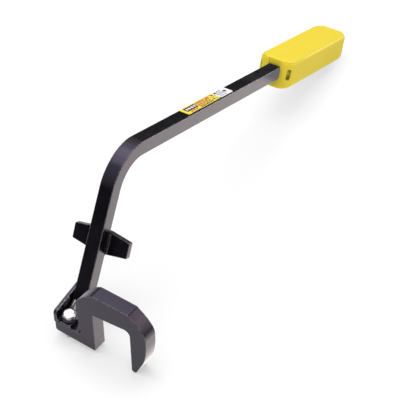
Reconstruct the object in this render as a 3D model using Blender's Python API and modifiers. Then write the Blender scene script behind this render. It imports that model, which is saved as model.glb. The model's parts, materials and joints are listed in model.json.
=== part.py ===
"""Hydrant wrench: a bent steel lever with a moulded grip, a welded pusher plate and a hook jaw on a bolt.

The tool is modelled in its own frame, in metres: the lever is bent in the XZ plane, the grip points to +X,
+Z is up, and the jaw's pivot bolt stands on the Z axis with z = 0 at the underside of the jaw. An empty then
sets the whole tool down on the three points that it rests on (nut, finger tip and grip) and centres its
footprint on the origin.
"""

import math

import bmesh
import bpy
from mathutils import Matrix, Vector
from mathutils.bvhtree import BVHTree

MM = 0.001
GAP = 0.0003                      # clearance between pieces that touch

# Lever: one square bar, bent once
BAR = 15.875 * MM                 # 5/8 in square bar
BAR_EDGE = 0.7 * MM               # rolled corner of the bar
RISE_DEG = 61.9                   # lower leg above the horizontal
DROP_DEG = 17.9                   # upper leg below the horizontal
BEND_RADIUS = 50.0 * MM           # outer face of the bend
BEND_X = 95.0 * MM                # where the outer faces of the two legs would meet
BEND_Z = 169.9 * MM
GRIP_START = 347.0 * MM           # along the upper leg, from that meeting point
BAR_IN_GRIP = 150.0 * MM
LEVER_Y = 0.6 * MM                # the welded lever stands a little to the left of the bolt

# Pivot bracket: a short length of angle
BRACKET_FRONT = -9.5 * MM
BRACKET_REAR = 38.5 * MM
PLATE_T = 4.0 * MM
WALL_T = 3.8 * MM
WALL_TOP_FRONT = 30.6 * MM
WALL_TOP_REAR = 36.8 * MM
WALL_NOSE = 4.0 * MM              # rounding of the wall's front corner

# Hook jaw: cut from 5/8 in plate
JAW_T = 15.875 * MM
JAW_EDGE = 0.6 * MM
JAW_YAW_DEG = -3.6                # rest position of the jaw about the bolt
LEDGE_TOP = 14.0 * MM             # the bracket lies on this
LEDGE_END = -13.0 * MM            # x is measured from the bolt, towards the finger
NOTCH_X = 16.8 * MM
NOTCH_FOOT_X = 21.3 * MM
SHOULDER_Z = 59.5 * MM
CROWN_Z = 80.5 * MM
SLOT_X = 38.0 * MM
SLOT_WIDTH = 45.3 * MM
SLOT_DEPTH = 52.5 * MM
SLOT_RISE = 5.4 * MM              # the slot's seat climbs towards the finger
FINGER_TIP_Z = 1.0 * MM
JAW_END = 102.7 * MM

# Pusher plate: hexagonal, across the back of the lower leg
PUSHER_HALF = 33.0 * MM
PUSHER_MID_H = 25.0 * MM
PUSHER_END_H = 17.0 * MM
PUSHER_T = 6.35 * MM
PUSHER_Y = 0.9 * MM               # off the middle of the bar, to the left
PUSHER_DOWN = 99.8 * MM           # below the bend's meeting point, along the lower leg
PUSHER_TURN_DEG = 1.5             # the plate is welded on a little askew
WELD = 4.0 * MM                   # leg length of a weld bead

# Pivot hardware: 5/16 in bolt, flat washer and thin lock nut
BOLT_D = 7.94 * MM
HOLE_D = 8.7 * MM
HEX_FLATS = 12.7 * MM
HEAD_H = 5.6 * MM
WASHER_D = 15.8 * MM
WASHER_T = 1.6 * MM
NUT_H = 4.7 * MM                  # the hexagonal part of the lock nut
COLLAR_H = 1.3 * MM               # and the round collar under it
COLLAR_D = 10.8 * MM

# Grip: two moulded shells
GRIP_L = 171.5 * MM
GRIP_W = 47.0 * MM
GRIP_TOP = 9.15 * MM              # above the bar's outer face
GRIP_H = 37.4 * MM
GRIP_WALL = 3.0 * MM
GRIP_FRONT = 14.0 * MM            # rounding of the grip in plan, at its front and rear
GRIP_REAR = 18.5 * MM
SEAM_DROP = 2.0 * MM              # seam below the top face
GRIP_DENSITY = 0.134              # the moulded grip's density against steel's
SCREW_D = 3.5 * MM
SCREW_HEAD_D = 7.0 * MM
SLIT_H = 13.6 * MM
SLIT_W = 4.6 * MM
SLIT_TURN_DEG = 47.0              # the slits face outwards from the grip's rounded front corners
POCKET_IN = BAR / 2 + 2.5 * MM    # the hollows beside the bar, measured from the middle
POCKET_OUT = GRIP_W / 2 - GRIP_WALL

# Labels on the outer face of the upper leg
LABEL_W = 13.2 * MM
LABEL_T = 0.25 * MM
LABEL_START = 134.0 * MM
LABEL_SPLIT = 204.0 * MM
LABEL_END = 232.0 * MM
LABEL_SHIFT = 0.9 * MM            # the label sits off centre

RISE = math.radians(RISE_DEG)
DROP = math.radians(DROP_DEG)
UP_LEG = Vector((math.cos(RISE), 0, math.sin(RISE)))
OUT_LEG = Vector((math.cos(DROP), 0, -math.sin(DROP)))
BEND = Vector((BEND_X, 0, BEND_Z))
LEG_BACK = Vector((math.sin(RISE), 0, -math.cos(RISE)))     # from the lower leg's outer face to its back
PLATE_BOTTOM = LEDGE_TOP + GAP
PLATE_TOP = PLATE_BOTTOM + PLATE_T

PAINT = ((0.02, 0.02, 0.022), 0.28, 0.0)
WELD_PAINT = ((0.025, 0.025, 0.028), 0.35, 0.0)
ZINC = ((0.75, 0.76, 0.78), 0.3, 1.0)
YELLOW = ((0.85, 0.67, 0.05), 0.45, 0.0)
YELLOW_PRINT = ((0.8, 0.6, 0.08), 0.4, 0.0)
WHITE_PRINT = ((0.75, 0.75, 0.72), 0.4, 0.0)


# ---------------------------------------------------------------- helpers

def clear_scene():
    for obj in list(bpy.data.objects):
        bpy.data.objects.remove(obj)


def new_collection(name):
    collection = bpy.data.collections.new(name)
    bpy.context.scene.collection.children.link(collection)
    return collection


def new_empty(name, parent=None, location=(0, 0, 0), rotation=(0, 0, 0)):
    empty = bpy.data.objects.new(name, None)
    PARTS.objects.link(empty)
    empty.parent = parent
    empty.location = location
    empty.rotation_euler = rotation
    return empty


def finish_of(name, look):
    colour, roughness, metallic = look
    material = bpy.data.materials.new(name)
    material.use_nodes = True
    shader = material.node_tree.nodes["Principled BSDF"]
    shader.inputs["Base Color"].default_value = (*colour, 1)
    shader.inputs["Roughness"].default_value = roughness
    shader.inputs["Metallic"].default_value = metallic
    return material


def add_object(name, mesh, parent, look=None, location=(0, 0, 0), rotation=(0, 0, 0)):
    """A visible piece when it has a look, otherwise a cutter."""
    obj = bpy.data.objects.new(name, mesh)
    obj.parent = parent
    obj.location = location
    obj.rotation_euler = rotation
    if look:
        PARTS.objects.link(obj)
        mesh.materials.append(finish_of(name, look))
    else:
        CUTTERS.objects.link(obj)
        obj.hide_render = True
        obj.display_type = "WIRE"
    return obj


def mesh_from(bm, name):
    mesh = bpy.data.meshes.new(name)
    bmesh.ops.recalc_face_normals(bm, faces=bm.faces)
    bm.to_mesh(mesh)
    bm.free()
    return mesh


def box_mesh(name, low, high):
    bm = bmesh.new()
    bmesh.ops.create_cube(bm, size=1.0)
    low, high = Vector(low), Vector(high)
    bmesh.ops.scale(bm, vec=high - low, verts=bm.verts)
    bmesh.ops.translate(bm, vec=(low + high) / 2, verts=bm.verts)
    return mesh_from(bm, name)


def cylinder_mesh(name, diameter, bottom, top, sides=32, at=(0, 0)):
    bm = bmesh.new()
    bmesh.ops.create_cone(bm, cap_ends=True, segments=sides, radius1=diameter / 2, radius2=diameter / 2,
                          depth=top - bottom)
    bmesh.ops.translate(bm, vec=(at[0], at[1], (top + bottom) / 2), verts=bm.verts)
    return mesh_from(bm, name)


def hexagon_mesh(name, flats, bottom, top):
    bm = bmesh.new()
    radius = flats / 2 / math.cos(math.pi / 6)
    bmesh.ops.create_cone(bm, cap_ends=True, segments=6, radius1=radius, radius2=radius, depth=top - bottom)
    bmesh.ops.translate(bm, vec=(0, 0, (top + bottom) / 2), verts=bm.verts)
    return mesh_from(bm, name)


def rounded(corners, steps=6):
    """An outline from (x, y, radius) corners: each corner with a radius becomes an arc."""
    points = []
    count = len(corners)
    for i, (x, y, radius) in enumerate(corners):
        here = Vector((x, y))
        before = (Vector(corners[i - 1][:2]) - here).normalized()
        after = (Vector(corners[(i + 1) % count][:2]) - here).normalized()
        if radius == 0:
            points.append(here)
            continue
        half = before.angle(after) / 2
        reach = radius / math.tan(half)
        centre = here + (before + after).normalized() * (radius / math.sin(half))
        start = here + before * reach - centre
        turn = start.angle_signed(here + after * reach - centre)
        for k in range(steps + 1):
            points.append(centre + Matrix.Rotation(-turn * k / steps, 2) @ start)
    return points


def outline_mesh(name, points, low, high):
    """A flat outline in XY, filled and extruded from z = low to z = high."""
    curve = bpy.data.curves.new(name, "CURVE")
    curve.dimensions = "2D"
    curve.fill_mode = "BOTH"
    curve.extrude = (high - low) / 2
    spline = curve.splines.new("POLY")
    spline.points.add(len(points) - 1)
    for point, place in zip(spline.points, points):
        point.co = (place[0], place[1], 0, 1)
    spline.use_cyclic_u = True
    carrier = bpy.data.objects.new(name, curve)
    bpy.context.scene.collection.objects.link(carrier)
    graph = bpy.context.evaluated_depsgraph_get()
    mesh = bpy.data.meshes.new_from_object(carrier.evaluated_get(graph))
    bpy.data.objects.remove(carrier)
    bm = bmesh.new()
    bm.from_mesh(mesh)
    bmesh.ops.remove_doubles(bm, verts=bm.verts, dist=0.00001)
    bmesh.ops.translate(bm, vec=(0, 0, (low + high) / 2), verts=bm.verts)
    bmesh.ops.dissolve_limit(bm, angle_limit=0.002, verts=bm.verts, edges=bm.edges)
    return mesh_from(bm, name)


def round_edges(obj, width, segments=2, angle=40):
    bevel = obj.modifiers.new("rounded edges", "BEVEL")
    bevel.width = width
    bevel.segments = segments
    bevel.limit_method = "ANGLE"
    bevel.angle_limit = math.radians(angle)
    return obj


def combine(obj, other, operation="DIFFERENCE"):
    modifier = obj.modifiers.new(other.name, "BOOLEAN")
    modifier.operation = operation
    modifier.solver = "EXACT"
    modifier.object = other
    return obj


def cut_box(obj, name, low, high, location=(0, 0, 0), rotation=(0, 0, 0)):
    cutter = add_object(name, box_mesh(name, low, high), obj.parent, None, location, rotation)
    return combine(obj, cutter)


def cut_hole(obj, name, diameter, bottom, top, at=(0, 0)):
    cutter = add_object(name, cylinder_mesh(name, diameter, bottom, top, at=at), obj.parent)
    return combine(obj, cutter)


def smooth(obj, angle=35):
    obj.data.shade_smooth()
    obj.data.set_sharp_from_angle(angle=math.radians(angle))
    return obj


SIDEWAYS = (math.pi / 2, 0, 0)                  # outline x -> +X, outline y -> +Z, thickness along Y
ACROSS = (math.pi / 2, 0, -math.pi / 2)         # outline x -> -Y, outline y -> +Z, thickness along X


# ---------------------------------------------------------------- lever

def bar_outline():
    """The bar seen from the side: foot cut level on the bracket, one bend, square end inside the grip."""
    foot_z = PLATE_TOP + GAP
    back = BEND + LEG_BACK * BAR
    top_back = Vector((math.sin(DROP), 0, math.cos(DROP))) * -BAR
    end = BEND + OUT_LEG * (GRIP_START + BAR_IN_GRIP)
    foot = BEND + UP_LEG * ((foot_z - BEND.z) / UP_LEG.z)
    foot_back = back + UP_LEG * ((foot_z - back.z) / UP_LEG.z)
    spread = UP_LEG.angle(OUT_LEG)
    inner_bend = BEND + (LEG_BACK * BAR + top_back) / (1 + math.cos(spread))
    places = [(foot, 0), (foot_back, 0), (inner_bend, BEND_RADIUS - BAR), (end + top_back, 0), (end, 0),
              (BEND, BEND_RADIUS)]
    return rounded([(p.x, p.z, radius) for p, radius in places], steps=14)


def build_lever():
    mesh = outline_mesh("lever_bar", bar_outline(), -BAR / 2, BAR / 2)
    bar = add_object("lever_bar", mesh, LEVER, PAINT, rotation=SIDEWAYS)
    round_edges(bar, BAR_EDGE)
    smooth(bar)


def leg_frame():
    """An empty on the lower leg's back face: local x along -Y, y up the leg, z towards the outer face."""
    centre = BEND - UP_LEG * PUSHER_DOWN + LEG_BACK * BAR
    axes = Matrix((Vector((0, -1, 0)), UP_LEG, -LEG_BACK)).transposed()
    return new_empty("pusher_place", LEVER, centre, axes.to_euler())


def build_pusher():
    place = leg_frame()
    half, mid, end = PUSHER_HALF, PUSHER_MID_H / 2, PUSHER_END_H / 2
    bar_half = BAR / 2
    corners = [(half, -end, 1.5 * MM), (half, end, 1.5 * MM), (bar_half, mid, 3 * MM),
               (-bar_half, mid, 3 * MM), (-half, end, 1.5 * MM), (-half, -end, 1.5 * MM),
               (-bar_half, -mid, 3 * MM), (bar_half, -mid, 3 * MM)]
    mesh = outline_mesh("pusher_plate", rounded(corners, 3), -GAP - PUSHER_T, -GAP)
    askew = new_empty("pusher_turn", place, rotation=(0, 0, math.radians(PUSHER_TURN_DEG)))
    plate = add_object("pusher_plate", mesh, askew, PAINT, (-PUSHER_Y, 0, 0))
    round_edges(plate, 0.6 * MM)
    smooth(plate)
    for name, side in (("pusher_weld_right", 1), ("pusher_weld_left", -1)):
        build_bead(name, place, PUSHER_MID_H - 3 * MM, (side * (bar_half + GAP), 0, 0), side, "along")
    for name, side in (("pusher_weld_top", 1), ("pusher_weld_bottom", -1)):
        build_bead(name, askew, BAR - 2 * MM, (0, side * (mid + GAP), -GAP), side, "across")


def bead_section(size):
    """A weld bead's section in its corner: a right angle closed by a low convex arc."""
    points = [Vector((0, 0))]
    for k in range(7):
        turn = math.pi / 2 * k / 6
        chord = Vector((size * (1 - k / 6), size * k / 6))
        points.append(chord + Vector((1, 1)).normalized() * 0.18 * size * math.sin(2 * turn))
    return points


def bead_mesh(name, length, size=WELD):
    """The section runs along z, with a rippled surface and tapered ends."""
    bm = bmesh.new()
    section = bead_section(size)
    rings = max(8, int(length / (1.6 * MM)))
    loops = []
    for k in range(rings + 1):
        along = k / rings
        taper = min(1.0, 0.55 + 3.0 * min(along, 1 - along))
        ripple = 1.0 + 0.05 * math.cos(k * math.pi)
        scale = taper * ripple
        z = (along - 0.5) * length
        loops.append([bm.verts.new((p.x * scale, p.y * scale, z)) for p in section])
    for low, high in zip(loops, loops[1:]):
        for i in range(len(section)):
            j = (i + 1) % len(section)
            bm.faces.new((low[i], low[j], high[j], high[i]))
    bm.faces.new(reversed(loops[0]))
    bm.faces.new(loops[-1])
    return mesh_from(bm, name)


def build_bead(name, parent, length, corner, side, run):
    """A bead on the pusher plate: along the bar's flank, or across the bar's back at the plate's edge."""
    if run == "along":
        rotation = (math.pi / 2, 0, 0) if side > 0 else (math.pi / 2, 0, math.pi)
    else:
        rotation = (0, math.pi / 2, 0) if side > 0 else (math.pi, math.pi / 2, 0)
    return smooth(add_object(name, bead_mesh(name, length), parent, WELD_PAINT, corner, rotation), 50)


# ---------------------------------------------------------------- bracket and jaw

def build_bracket():
    half = BAR / 2
    inner = half + GAP
    outer = inner + WALL_T
    corners = [(-half, PLATE_BOTTOM, 0.8 * MM), (outer, PLATE_BOTTOM, 2.5 * MM),
               (outer, WALL_TOP_REAR + 5 * MM, 0), (inner, WALL_TOP_REAR + 5 * MM, 0), (inner, PLATE_TOP, 0),
               (-half, PLATE_TOP, 0.8 * MM)]
    mesh = outline_mesh("pivot_bracket", rounded(corners, 4), BRACKET_FRONT, BRACKET_REAR)
    bracket = add_object("pivot_bracket", mesh, LEVER, PAINT, rotation=(math.pi / 2, 0, math.pi / 2))
    profile = rounded([
        (BRACKET_FRONT - 5 * MM, WALL_TOP_REAR + 20 * MM, 0),
        (BRACKET_FRONT - 5 * MM, PLATE_TOP + 2 * MM, 0),
        (BRACKET_FRONT, PLATE_TOP + 2 * MM, 0),
        (BRACKET_FRONT, WALL_TOP_FRONT, WALL_NOSE),
        (BRACKET_REAR, WALL_TOP_REAR, 1.5 * MM),
        (BRACKET_REAR, PLATE_TOP + 2 * MM, 0),
        (BRACKET_REAR + 5 * MM, PLATE_TOP + 2 * MM, 0),
        (BRACKET_REAR + 5 * MM, WALL_TOP_REAR + 20 * MM, 0)], 5)
    trim = outline_mesh("bracket_trim", profile, -outer - 2 * MM, -inner + 2 * MM)
    combine(bracket, add_object("bracket_trim", trim, LEVER, rotation=SIDEWAYS))
    cut_hole(bracket, "bracket_bolt_hole", HOLE_D, PLATE_BOTTOM - 2 * MM, PLATE_TOP + 2 * MM, (0, -LEVER_Y))
    smooth(bracket)


def build_foot_welds():
    """Beads in front of and behind the bar's foot."""
    foot_x = BEND.x - (BEND.z - PLATE_TOP) / math.tan(RISE)
    level = PLATE_TOP + GAP
    front = outline_mesh("foot_weld_front", [
        (foot_x - 5.5 * MM, level), (foot_x - GAP, level),
        (foot_x - GAP + 8.5 * MM / math.tan(RISE), level + 8.5 * MM), (foot_x - 0.2 * MM, level + 6.0 * MM),
        (foot_x - 3.4 * MM, level + 2.6 * MM)], -BAR / 2 + MM, BAR / 2 - MM)
    front = add_object("foot_weld_front", front, LEVER, WELD_PAINT, rotation=SIDEWAYS)
    round_edges(front, 0.5 * MM, angle=20)
    smooth(front, 50)
    rear_x = foot_x + BAR / math.sin(RISE) + GAP
    rise = 4.0 * MM
    rear = outline_mesh("foot_weld_rear", [
        (rear_x, level), (rear_x + 5.5 * MM, level), (rear_x + 4.9 * MM, level + 2.2 * MM),
        (rear_x + rise / math.tan(RISE) + 0.6 * MM, level + rise)], -BAR / 2 + MM, BAR / 2 - MM)
    rear = add_object("foot_weld_rear", rear, LEVER, WELD_PAINT, rotation=SIDEWAYS)
    round_edges(rear, 0.4 * MM, angle=20)
    smooth(rear, 50)


def jaw_outline():
    finger_x = SLOT_X + SLOT_WIDTH
    shoulder = Vector((NOTCH_X + 0.2 * MM, SHOULDER_Z))
    crown = Vector((SLOT_X + 1.0 * MM, CROWN_Z))
    chord = crown - shoulder
    bulge = Vector((-chord.y, chord.x)).normalized() * 2.2 * MM
    shoulder_arc = [(*(shoulder + chord * t + bulge * 4 * t * (1 - t)), 0) for t in (0.2, 0.4, 0.6, 0.8)]
    corners = [
        (LEDGE_END, 0, 1.5 * MM), (SLOT_X, 0, 1.0 * MM), (SLOT_X, SLOT_DEPTH, 1.5 * MM),
        (finger_x, SLOT_DEPTH + SLOT_RISE, 6.0 * MM), (finger_x + 0.4 * MM, FINGER_TIP_Z, 2.6 * MM),
        (finger_x + 5.6 * MM, FINGER_TIP_Z, 2.4 * MM), (JAW_END - 2.9 * MM, 24.0 * MM, 60 * MM),
        (JAW_END, 40.0 * MM, 80 * MM), (JAW_END, SHOULDER_Z + MM, 16 * MM), (94.2 * MM, 71.8 * MM, 45 * MM),
        (82.0 * MM, CROWN_Z, 5.0 * MM),
        (*crown, 2.5 * MM), *reversed(shoulder_arc), (*shoulder, 0.8 * MM),
        (NOTCH_X, 42.0 * MM, 4.0 * MM), (NOTCH_FOOT_X, LEDGE_TOP, 4.5 * MM), (LEDGE_END, LEDGE_TOP, 1.0 * MM)]
    return rounded(corners)


def build_jaw():
    mesh = outline_mesh("hook_jaw", jaw_outline(), -JAW_T / 2, JAW_T / 2)
    jaw = add_object("hook_jaw", mesh, JAW_AXIS, PAINT, rotation=ACROSS)
    round_edges(jaw, JAW_EDGE)
    cut_hole(jaw, "jaw_bolt_hole", HOLE_D, -2 * MM, LEDGE_TOP + 2 * MM)
    smooth(jaw)


def build_pivot_hardware():
    washer_bottom = PLATE_TOP + GAP
    washer_top = washer_bottom + WASHER_T
    head_bottom = washer_top + GAP
    nut_bottom = -GAP - NUT_H
    collar_bottom = nut_bottom - COLLAR_H
    washer = add_object("head_washer", cylinder_mesh("head_washer", WASHER_D, washer_bottom, washer_top, 40),
                        ROOT, PAINT)
    cut_hole(washer, "washer_hole", HOLE_D, washer_bottom - MM, washer_top + MM)
    smooth(washer)
    bolt = add_object("pivot_bolt", hexagon_mesh("pivot_bolt", HEX_FLATS, head_bottom, head_bottom + HEAD_H),
                      ROOT, ZINC, rotation=(0, 0, math.radians(20)))
    round_edges(bolt, 0.8 * MM, 2)
    shank = cylinder_mesh("bolt_shank", BOLT_D, collar_bottom + 0.5 * MM, head_bottom + MM)
    shank = add_object("bolt_shank", shank, ROOT)
    combine(bolt, shank, "UNION")
    smooth(bolt)
    nut = add_object("lock_nut", hexagon_mesh("lock_nut", HEX_FLATS, nut_bottom, -GAP), ROOT, ZINC)
    round_edges(nut, 0.6 * MM, 2)
    collar = cylinder_mesh("nut_collar", COLLAR_D, collar_bottom, nut_bottom + MM)
    collar = add_object("nut_collar", collar, ROOT)
    combine(nut, round_edges(collar, 0.5 * MM), "UNION")
    cut_hole(nut, "nut_bore", BOLT_D + 2 * GAP, collar_bottom - MM, MM)
    smooth(nut)


# ---------------------------------------------------------------- grip

def end_inset(along, front, rear):
    """How far an outline has drawn in, this far along the grip, for the rounding radius of each end."""
    near = max(0.0, 1 - along / front)
    far = max(0.0, 1 - (GRIP_L - along) / rear)
    return front * (1 - math.sqrt(1 - near ** 2)) + rear * (1 - math.sqrt(1 - far ** 2))


def grip_section(along):
    """A rounded rectangle in YZ; each end of the grip is rounded in plan and from the side."""
    half = GRIP_W / 2 - end_inset(along, GRIP_FRONT, GRIP_REAR)
    top = GRIP_TOP - end_inset(along, 5 * MM, 6 * MM)
    low = GRIP_TOP - GRIP_H + end_inset(along, 4 * MM, 11 * MM)
    under = min(11 * MM, half - 0.5 * MM)
    over = min(6 * MM, half - 0.5 * MM)
    return rounded([(-half, low, under), (half, low, under), (half, top, over), (-half, top, over)], 5)


def grip_block(name, parent, look=None):
    """The grip's outer form, lofted through sections that crowd together at its rounded ends."""
    turns = [math.pi / 2 * k / 8 for k in range(9)]
    stations = [GRIP_FRONT * (1 - math.cos(t)) for t in turns]
    stations += [GRIP_L - GRIP_REAR * (1 - math.cos(t)) for t in reversed(turns)]
    bm = bmesh.new()
    rings = [[bm.verts.new((along, p.x, p.y)) for p in grip_section(along)] for along in stations]
    count = len(rings[0])
    for ring, following in zip(rings, rings[1:]):
        for i in range(count):
            j = (i + 1) % count
            bm.faces.new((ring[i], ring[j], following[j], following[i]))
    bm.faces.new(reversed(rings[0]))
    bm.faces.new(rings[-1])
    return add_object(name, mesh_from(bm, name), parent, look)


def screw_places():
    across = (POCKET_IN + POCKET_OUT) / 2
    return [(along, side * across) for along in (52 * MM, 132 * MM) for side in (-1, 1)]


def build_grip():
    top_start = BEND + OUT_LEG * GRIP_START
    place = new_empty("grip_place", LEVER, top_start, (0, DROP, 0))
    low = GRIP_TOP - GRIP_H
    seam = GRIP_TOP - SEAM_DROP
    far = GRIP_L + 10 * MM
    wide = GRIP_W
    tray = grip_block("grip_lower_shell", place, YELLOW)
    cut_box(tray, "tray_top", (-10 * MM, -wide, seam - GAP), (far, wide, seam + 30 * MM))
    channel = BAR / 2 + GAP
    cut_box(tray, "tray_channel", (-10 * MM, -channel, -BAR - GAP), (BAR_IN_GRIP + MM, channel, seam + MM))
    for number, (start, stop) in enumerate(((17, 44), (47, 88), (91, 122), (125, 152))):
        for side in (-1, 1):
            edges = sorted((side * POCKET_IN, side * POCKET_OUT))
            cut_box(tray, f"tray_pocket_{number}_{side}", (start * MM, edges[0], low + 7 * MM),
                    (stop * MM, edges[1], seam + MM))
    for number, at in enumerate(screw_places()):
        cut_hole(tray, f"tray_screw_hole_{number}", SCREW_D + 2 * GAP, low - MM, low + 8 * MM, at)
        cut_hole(tray, f"tray_head_recess_{number}", SCREW_HEAD_D + 2 * GAP, low - MM, low + 3 * MM, at)
    for side in (-1, 1):
        spot = (4.3 * MM, side * (GRIP_W / 2 - 4.8 * MM), -8.0 * MM)
        corner = Vector((SLIT_W / 2, 7 * MM, SLIT_H / 2))
        cut_box(tray, f"tray_slit_{side}", -corner, corner, spot, (0, 0, side * math.radians(SLIT_TURN_DEG)))
    smooth(tray, 30)
    lid = grip_block("grip_upper_shell", place, YELLOW)
    cut_box(lid, "lid_under", (-10 * MM, -wide, low - 10 * MM), (far, wide, seam))
    rib = box_mesh("lid_rib", (0.6 * MM, GAP - channel, GAP), (BAR_IN_GRIP, channel - GAP, seam + MM))
    combine(lid, add_object("lid_rib", rib, place), "UNION")
    for number, at in enumerate(screw_places()):
        name = f"lid_boss_{number}"
        boss = cylinder_mesh(name, SCREW_D + 3.4 * MM, low + 7.5 * MM, seam + 0.5 * MM, 20, at)
        combine(lid, add_object(name, boss, place), "UNION")
        cut_hole(lid, f"lid_screw_bore_{number}", SCREW_D + 2 * GAP, low + 6 * MM, low + 19 * MM, at)
    smooth(lid, 30)
    build_grip_screws(place, low)


def build_grip_screws(place, low):
    for number, at in enumerate(screw_places(), 1):
        name = f"grip_screw_{number}"
        bm = bmesh.new()
        bmesh.ops.create_cone(bm, cap_ends=True, segments=20, radius1=SCREW_HEAD_D * 0.4,
                              radius2=SCREW_HEAD_D / 2, depth=1.9 * MM)
        bmesh.ops.translate(bm, vec=(at[0], at[1], low + 1.7 * MM), verts=bm.verts)
        screw = add_object(name, mesh_from(bm, name), place, ZINC)
        shank = cylinder_mesh(f"{name}_shank", SCREW_D, low + 2 * MM, low + 17 * MM, 16, at)
        combine(screw, add_object(f"{name}_shank", shank, place), "UNION")
        smooth(screw)


def build_labels():
    place = new_empty("label_place", LEVER, BEND, (0, DROP, 0))
    for name, start, stop, look in (("label_yellow", LABEL_START, LABEL_SPLIT - GAP, YELLOW_PRINT),
                                    ("label_white", LABEL_SPLIT, LABEL_END, WHITE_PRINT)):
        low = (start, LABEL_SHIFT - LABEL_W / 2, GAP)
        high = (stop, LABEL_SHIFT + LABEL_W / 2, GAP + LABEL_T)
        add_object(name, box_mesh(name, low, high), place, look)


# ---------------------------------------------------------------- setting the tool down

def solid_pieces():
    """Every piece's mesh in world space, as a bmesh."""
    bpy.context.view_layer.update()
    graph = bpy.context.evaluated_depsgraph_get()
    for obj in PARTS.objects:
        if obj.type == "MESH":
            bm = bmesh.new()
            bm.from_mesh(obj.evaluated_get(graph).data)
            bm.transform(obj.matrix_world)
            bmesh.ops.triangulate(bm, faces=bm.faces)
            yield obj.name, bm


def mass_centre():
    """The tool's centre of mass, summed over the tetrahedra between the origin and each triangle."""
    moment = Vector()
    mass = 0.0
    for name, bm in solid_pieces():
        share = GRIP_DENSITY if name.startswith("grip_") and "screw" not in name else 1.0
        for face in bm.faces:
            a, b, c = (vertex.co for vertex in face.verts)
            part = share * a.dot(b.cross(c)) / 6
            moment += part * (a + b + c) / 4
            mass += part
        bm.free()
    return moment / mass


def set_down():
    """Lays level the hull's face that is under the centre of mass, and centres the tool's box."""
    hull = bmesh.new()
    for _, bm in solid_pieces():
        for vertex in bm.verts:
            hull.verts.new(vertex.co)
        bm.free()
    bmesh.ops.convex_hull(hull, input=hull.verts)
    base = BVHTree.FromBMesh(hull).ray_cast(mass_centre(), Vector((0, 0, -1)))[1]
    hull.free()
    down = Vector((0, 0, -1))
    ROOT.rotation_euler = (base if base.z < 0 else -base).rotation_difference(down).to_euler()
    places = [vertex.co.copy() for _, bm in solid_pieces() for vertex in bm.verts]
    low = [min(place[axis] for place in places) for axis in range(3)]
    high = [max(place[axis] for place in places) for axis in range(3)]
    ROOT.location = (-(low[0] + high[0]) / 2, -(low[1] + high[1]) / 2, -low[2])
    bpy.context.view_layer.update()


clear_scene()
PARTS = new_collection("hydrant_wrench")
CUTTERS = new_collection("cutters")
ROOT = new_empty("tool_root")
LEVER = new_empty("lever_place", ROOT, (0, LEVER_Y, 0))
JAW_AXIS = new_empty("jaw_axis", ROOT, rotation=(0, 0, math.radians(JAW_YAW_DEG)))
build_lever()
build_pusher()
build_bracket()
build_foot_welds()
build_jaw()
build_pivot_hardware()
build_grip()
build_labels()
set_down()
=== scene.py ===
import json
import math

import bmesh
import bpy
from mathutils import Matrix, Vector


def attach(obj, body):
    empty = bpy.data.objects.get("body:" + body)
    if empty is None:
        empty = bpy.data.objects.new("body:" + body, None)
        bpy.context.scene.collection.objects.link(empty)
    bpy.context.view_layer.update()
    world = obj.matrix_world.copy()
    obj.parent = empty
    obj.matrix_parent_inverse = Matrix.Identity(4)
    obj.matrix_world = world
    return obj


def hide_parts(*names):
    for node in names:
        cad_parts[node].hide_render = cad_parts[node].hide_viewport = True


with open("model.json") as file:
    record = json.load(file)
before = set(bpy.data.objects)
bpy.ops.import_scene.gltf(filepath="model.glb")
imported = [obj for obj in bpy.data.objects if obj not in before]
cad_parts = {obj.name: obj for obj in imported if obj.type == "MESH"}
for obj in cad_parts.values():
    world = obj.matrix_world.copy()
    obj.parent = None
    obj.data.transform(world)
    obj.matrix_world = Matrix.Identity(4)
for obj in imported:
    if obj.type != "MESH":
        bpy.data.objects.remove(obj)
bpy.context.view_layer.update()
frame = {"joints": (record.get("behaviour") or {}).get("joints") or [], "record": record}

MM = 0.001
LEVER_BODY = "lever"
JAW_BODY = "jaw"

# Sizes shared with the CAD source, in the tool's own frame
BAR = 15.875 * MM
GAP_MM = 0.3                                # between pieces that touch on the real tool
GAP = GAP_MM * MM
RISE = math.radians(61.9)                   # lower leg above the horizontal
DROP = math.radians(17.9)                   # upper leg below the horizontal
BEND = Vector((95.0, 0, 169.9)) * MM        # where the outer faces of the two legs would meet
BEND_RADIUS = 50.0 * MM
JAW_YAW = math.radians(-3.6)
JAW_T = 15.875 * MM
LEVER_Y = 0.6 * MM
JOINT_HEIGHT = 7.0 * MM                     # the joint's point above the underside of the jaw
PLATE_TOP = 18.3 * MM                       # top of the bracket's base plate
PUSHER_DOWN = 99.8 * MM
PUSHER_MID_H = 25.0 * MM
PUSHER_TURN = math.radians(1.5)
GRIP_START = 347.0 * MM
GRIP_L = 171.5 * MM
GRIP_W = 47.0 * MM
GRIP_TOP = 9.15 * MM
GRIP_H = 37.4 * MM
GRIP_FRONT = 14.0 * MM
GRIP_REAR = 18.5 * MM
SEAM_DROP = 2.0 * MM
BAR_IN_GRIP = 150.0 * MM

# Fine shape of the grip, which the CAD leaves out or has plainer
RIM_START = 13.0 * MM                       # where the grip's raised bead begins
RIM_R = 0.75 * MM
RIM_SINK = 0.62 * MM                        # how far the bead's centre lies inside the outline
SLOT_HALF = (2.9, 7.4)                      # half width and height of the slots at the grip's front, in mm
SLOT_TURN = math.radians(47)

HEX_FLATS = 12.7 * MM                       # bolt head and nut
HEAD_TURN = math.radians(20)

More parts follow.
